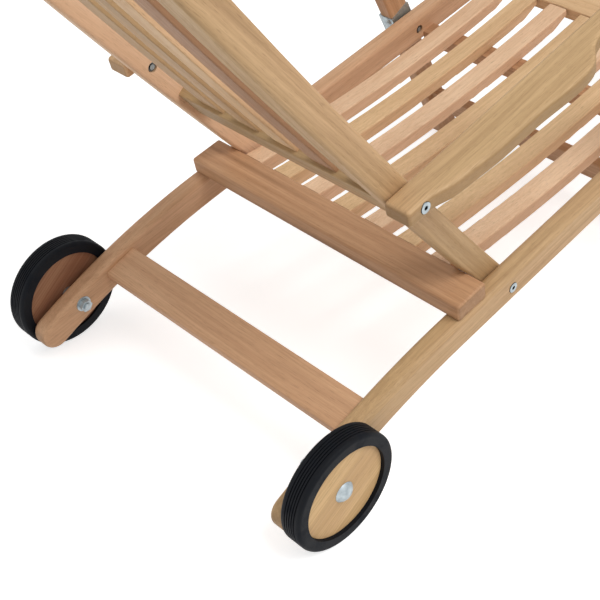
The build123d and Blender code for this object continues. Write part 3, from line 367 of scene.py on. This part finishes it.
def thread_tree():
    """Round ridges set side by side along the bolt."""
    tree = bpy.data.node_groups.new("thread ridges", "GeometryNodeTree")
    sockets = {}
    for name, kind, value in (
            ("Ridge Count", "NodeSocketInt", 3), ("Pitch", NUMBER, THREAD_PITCH),
            ("Thread Radius", NUMBER, BOLT_RADIUS), ("Ridge Radius", NUMBER, RIDGE_RADIUS),
            ("Finish", "NodeSocketMaterial", None)):
        socket = tree.interface.new_socket(name, in_out="INPUT", socket_type=kind)
        sockets[name] = socket.identifier
        if value is not None:
            socket.default_value = value
    tree.interface.new_socket("Ridges", in_out="OUTPUT", socket_type="NodeSocketGeometry")
    net = Net(tree)
    given = net.add("NodeGroupInput").outputs
    step = net.add("ShaderNodeCombineXYZ", {"X": given["Pitch"]}).outputs[0]
    stations = net.add("GeometryNodeMeshLine", {"Count": given["Ridge Count"], "Offset": step}).outputs[0]
    ring = net.add("GeometryNodeCurvePrimitiveCircle", {
        "Resolution": BOLT_SIDES, "Radius": given["Thread Radius"]}).outputs[0]
    wire = net.add("GeometryNodeCurvePrimitiveCircle", {
        "Resolution": RIDGE_SIDES, "Radius": given["Ridge Radius"]}).outputs[0]
    ridge = net.add("GeometryNodeCurveToMesh", {"Curve": ring, "Profile Curve": wire}).outputs[0]
    upright = net.add("GeometryNodeTransform", {"Geometry": ridge, "Rotation": (0, math.radians(90), 0)}).outputs[0]
    spread = net.add("GeometryNodeInstanceOnPoints", {"Points": stations, "Instance": upright}).outputs[0]
    plain = net.add("GeometryNodeRealizeInstances", {"Geometry": spread}).outputs[0]
    done = net.add("GeometryNodeSetMaterial", {"Geometry": plain, "Material": given["Finish"]}).outputs[0]
    net.add("NodeGroupOutput", {"Ridges": done})
    return tree, sockets


def thread_ridges():
    """The thread that shows on both axle bolts between the nut and the bolt's end."""
    tree, sockets = thread_tree()
    axle = (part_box("axle_nuts")[0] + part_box("axle_nuts")[1]) / 2
    corners, faces = [], []
    for side in (1, -1):
        nut = min(side * v.co.x for v in nodes["axle_nuts"].data.vertices if side * v.co.x > 0)
        end = min(side * v.co.x for v in nodes["axle_bolts"].data.vertices if side * v.co.x > 0)
        shank = [v.co for v in nodes["axle_bolts"].data.vertices if abs(side * v.co.x - end) < SAME_PLACE]
        radius = max(math.hypot(v.y - axle.y, v.z - axle.z) for v in shank)
        count = max(2, int((nut - end) / THREAD_PITCH))
        holder = bpy.data.objects.new("thread", bpy.data.meshes.new("thread"))
        bpy.context.scene.collection.objects.link(holder)
        ridges = holder.modifiers.new("ridges", "NODES")
        ridges.node_group = tree
        for name, value in (("Ridge Count", count), ("Pitch", (nut - end) / (count + 0.5)),
                            ("Thread Radius", radius), ("Ridge Radius", RIDGE_RADIUS), ("Finish", ZINC)):
            ridges[sockets[name]] = value
        bpy.context.view_layer.update()
        made = bpy.data.meshes.new_from_object(holder.evaluated_get(bpy.context.evaluated_depsgraph_get()))
        start, first = end + END_BEVEL, len(corners)
        corners += [(side * (start + v.co.x), axle.y + v.co.y, axle.z + v.co.z) for v in made.vertices]
        for face in made.polygons:
            ring = [first + n for n in face.vertices]
            faces.append(ring if side > 0 else ring[::-1])
        bpy.data.objects.remove(holder)
    mesh = bpy.data.meshes.new("axle threads")
    mesh.from_pydata(corners, [], faces)
    mesh.shade_smooth()
    mesh.materials.append(ZINC)
    threads = bpy.data.objects.new("axle_threads", mesh)
    bpy.context.scene.collection.objects.link(threads)
    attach(threads, "frame")


thread_ridges()


# ---------------------------------------------------------------- studio

FLOOR_REACH = 12.0
FLOOR_COLOUR, FLOOR_GLOW = (0.86, 0.86, 0.86, 1), 0.62
WORLD_STRENGTH = 0.5
WHITE = (1, 1, 1, 1)


def seen_directly(net):
    """1 where the camera or a reflection looks at a surface, 0 where its light falls on the chair."""
    ray = net.add("ShaderNodeLightPath").outputs
    reflected = net.maths("MAXIMUM", ray["Is Glossy Ray"], ray["Is Transmission Ray"])
    return net.maths("MAXIMUM", ray["Is Camera Ray"], reflected)


def white_floor():
    """Pale floor that keeps the chair's soft shadow."""
    mesh = bpy.data.meshes.new("studio floor")
    corners = [(x * FLOOR_REACH, y * FLOOR_REACH, 0) for x, y in ((-1, -1), (1, -1), (1, 1), (-1, 1))]
    mesh.from_pydata(corners, [], [(0, 1, 2, 3)])
    floor = bpy.data.objects.new("studio_floor", mesh)
    bpy.context.scene.collection.objects.link(floor)
    finish = bpy.data.materials.new("studio white")
    finish.use_nodes = True
    finish.node_tree.nodes.clear()
    net = Net(finish.node_tree)
    glow_strength = net.maths("MULTIPLY", seen_directly(net), FLOOR_GLOW)
    matt = net.add("ShaderNodeBsdfDiffuse", {"Color": FLOOR_COLOUR}).outputs[0]
    glow = net.add("ShaderNodeEmission", {"Color": WHITE, "Strength": glow_strength}).outputs[0]
    both = net.add("ShaderNodeAddShader", {0: matt, 1: glow}).outputs[0]
    net.add("ShaderNodeOutputMaterial", {"Surface": both})
    mesh.materials.append(finish)


def white_world():
    """White surroundings that light the chair only softly."""
    world = bpy.data.worlds.new("studio world")
    bpy.context.scene.world = world
    world.use_nodes = True
    world.node_tree.nodes.clear()
    net = Net(world.node_tree)
    level = net.maths("ADD", net.maths("MULTIPLY", seen_directly(net), 1.0 - WORLD_STRENGTH), WORLD_STRENGTH)
    sky = net.add("ShaderNodeBackground", {"Color": WHITE, "Strength": level}).outputs[0]
    net.add("ShaderNodeOutputWorld", {"Surface": sky})


def soft_box(name, place, target, width, watts):
    """Square lamp at `place` that faces `target`."""
    lamp = bpy.data.lights.new(name, "AREA")
    lamp.shape, lamp.size, lamp.size_y, lamp.energy = "RECTANGLE", width, width, watts
    box = bpy.data.objects.new(name, lamp)
    bpy.context.scene.collection.objects.link(box)
    box.location = place
    box.rotation_euler = (Vector(target) - Vector(place)).to_track_quat("-Z", "Y").to_euler()


white_floor()
white_world()
soft_box("key soft box", place=(-1.85, 0.3, 2.95), target=(0.0, 0.1, 0.2), width=1.8, watts=58)
soft_box("fill soft box", place=(1.2, 2.6, 2.2), target=(0.0, 0.3, 0.2), width=2.0, watts=8)

# ---------------------------------------------------------------- camera

CAMERA_PLACE = Vector((-0.9778, 1.4252, 1.1826))
CAMERA_AIM = Vector((0.55744, -0.55627, -0.61631))
CAMERA_LENS, SENSOR_WIDTH = 72.15, 36.0
NEAREST, FURTHEST = 0.01, 100.0

lens = bpy.data.cameras.new("camera")
lens.sensor_fit, lens.sensor_width, lens.lens = "HORIZONTAL", SENSOR_WIDTH, CAMERA_LENS
lens.clip_start, lens.clip_end = NEAREST, FURTHEST
camera = bpy.data.objects.new("camera", lens)
bpy.context.scene.collection.objects.link(camera)
camera.location = CAMERA_PLACE
camera.rotation_euler = CAMERA_AIM.to_track_quat("-Z", "Y").to_euler()
bpy.context.scene.camera = camera
bpy.context.scene.view_settings.view_transform = "Standard"
